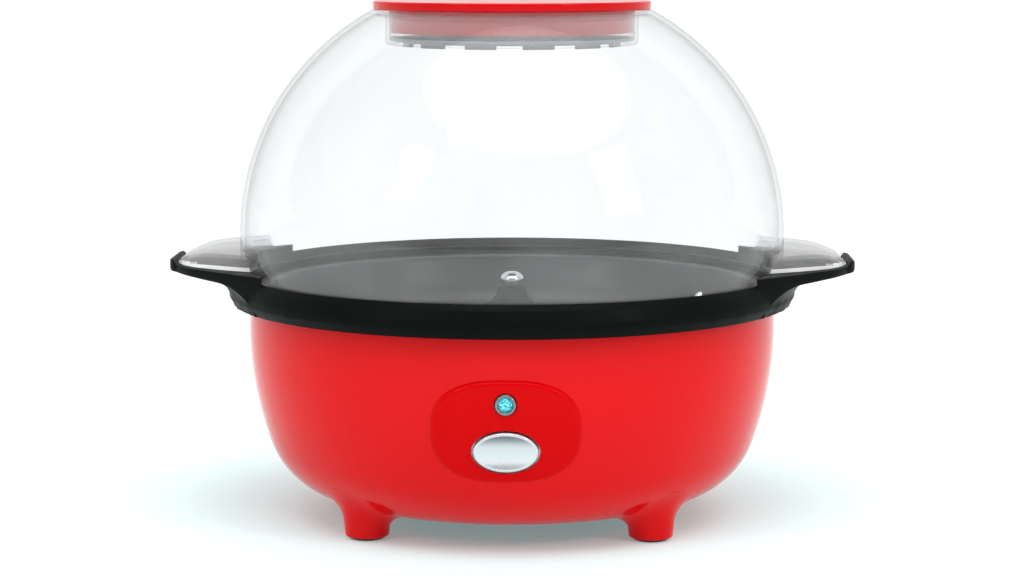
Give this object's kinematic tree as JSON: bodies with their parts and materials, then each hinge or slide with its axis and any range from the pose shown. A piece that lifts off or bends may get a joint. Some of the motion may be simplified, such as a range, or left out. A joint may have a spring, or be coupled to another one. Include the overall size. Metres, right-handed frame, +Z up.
{
  "type": "stirring popcorn maker",
  "caption": "Countertop stirring popcorn maker: red housing on legs, black collar with wing handles, heated pan, motor stirrer, clear dome and measuring cap.",
  "frame": {"origin": "on the table under the middle of the housing, at the bottom of the rubber pads", "axes": "+X to the right wing handle, -Y to the front with button and lamp, +Z up"},
  "size_m": [0.3004, 0.2492, 0.2262],
  "materials": {
    "red_plastic": "gloss",
    "cap_plastic": "gloss",
    "black_plastic": "satin",
    "rubber": "matte",
    "nonstick": "satin non-stick coating",
    "element_steel": "dull",
    "steel": "satin",
    "zinc_steel": "plated",
    "rod_steel": "polished",
    "ceramic": "matte",
    "phenolic": "matte",
    "sleeve": "matte",
    "grey_plastic": "matte",
    "white_plastic": "satin",
    "copper_coil": "enamelled wire",
    "magnet": "matte",
    "brass": "satin",
    "chrome": "polished",
    "silver_button": "satin metallised plastic",
    "teal_lens": "clear tint",
    "lamp_glass": "clear",
    "clear_plastic": "clear gloss",
    "smoke_plastic": "smoky translucent"
  },
  "bodies": {
    "base": {"base_housing": "red_plastic", "bottom_cover": "black_plastic", "bottom_cover_screws": "steel", "rubber_foot_pads": "rubber", "handle_collar": "black_plastic", "collar_screws": "steel", "popping_pan": "nonstick", "heating_element": "element_steel", "element_pins": "steel", "element_clamps": "zinc_steel", "pan_studs": "steel", "stud_spacers": "ceramic", "stud_nuts": "steel", "heat_shield": "zinc_steel", "thermostat": "phenolic", "thermostat_bracket": "zinc_steel", "thermal_fuse": "sleeve", "motor_bracket": "zinc_steel", "bracket_screws": "steel", "gearbox_cover": "grey_plastic", "gearbox_plate": "zinc_steel", "gearbox_screws": "steel", "gearbox_pins": "steel", "motor_can": "zinc_steel", "motor_coil": "copper_coil", "shaft_bushing": "brass", "shaft_seal": "rubber", "return_spring": "steel", "switch_plate": "zinc_steel", "switch_plate_screws": "steel", "push_switch": "phenolic", "indicator_bezel": "chrome", "indicator_lens": "teal_lens", "indicator_lamp": "lamp_glass", "cord_gland": "black_plastic", "terminal_block": "ceramic", "wiring_leads": "sleeve"},
    "stirrer": {"drive_shaft": "steel", "output_gear": "white_plastic", "stir_hub": "black_plastic", "stirring_rods": "rod_steel", "hub_nut": "chrome"},
    "stepped": {"stepped_gear": "white_plastic"},
    "rotor": {"motor_rotor": "magnet"},
    "button": {"power_button": "silver_button", "switch_plunger": "white_plastic"},
    "dome": {"dome_cover": "clear_plastic", "vent_grille": "smoke_plastic"},
    "cap": {"measuring_cap": "cap_plastic"}
  },
  "joints": [
    {"name": "dome_lift", "type": "slide", "parent": "base", "child": "dome", "axis": [0, 0, 1], "range_m": [0, 0.13]},
    {"name": "cap_lift", "type": "slide", "parent": "dome", "child": "cap", "axis": [0, 0, 1], "range_m": [0, 0.04]},
    {"name": "stir_spin", "type": "hinge", "parent": "base", "child": "stirrer", "pos_m": [0, 0, 0.09], "axis": [0, 0, 1], "continuous": true},
    {"name": "stepped_spin", "type": "hinge", "parent": "base", "child": "stepped", "pos_m": [0.01945, 0, 0.0478], "axis": [0, 0, 1], "continuous": true},
    {"name": "rotor_spin", "type": "hinge", "parent": "base", "child": "rotor", "pos_m": [0.00261, 0.00972, 0.036], "axis": [0, 0, 1], "continuous": true},
    {"name": "button_press", "type": "slide", "parent": "base", "child": "button", "axis": [0, 1, 0], "range_m": [0, 0.0025], "stiffness_N_per_m": 600, "springref_m": -0.001, "deforming": ["return_spring"]}
  ],
  "couplings": [
    {"joint": "stepped_spin", "follows": "stir_spin", "ratio": -3},
    {"joint": "rotor_spin", "follows": "stir_spin", "ratio": 9}
  ]
}
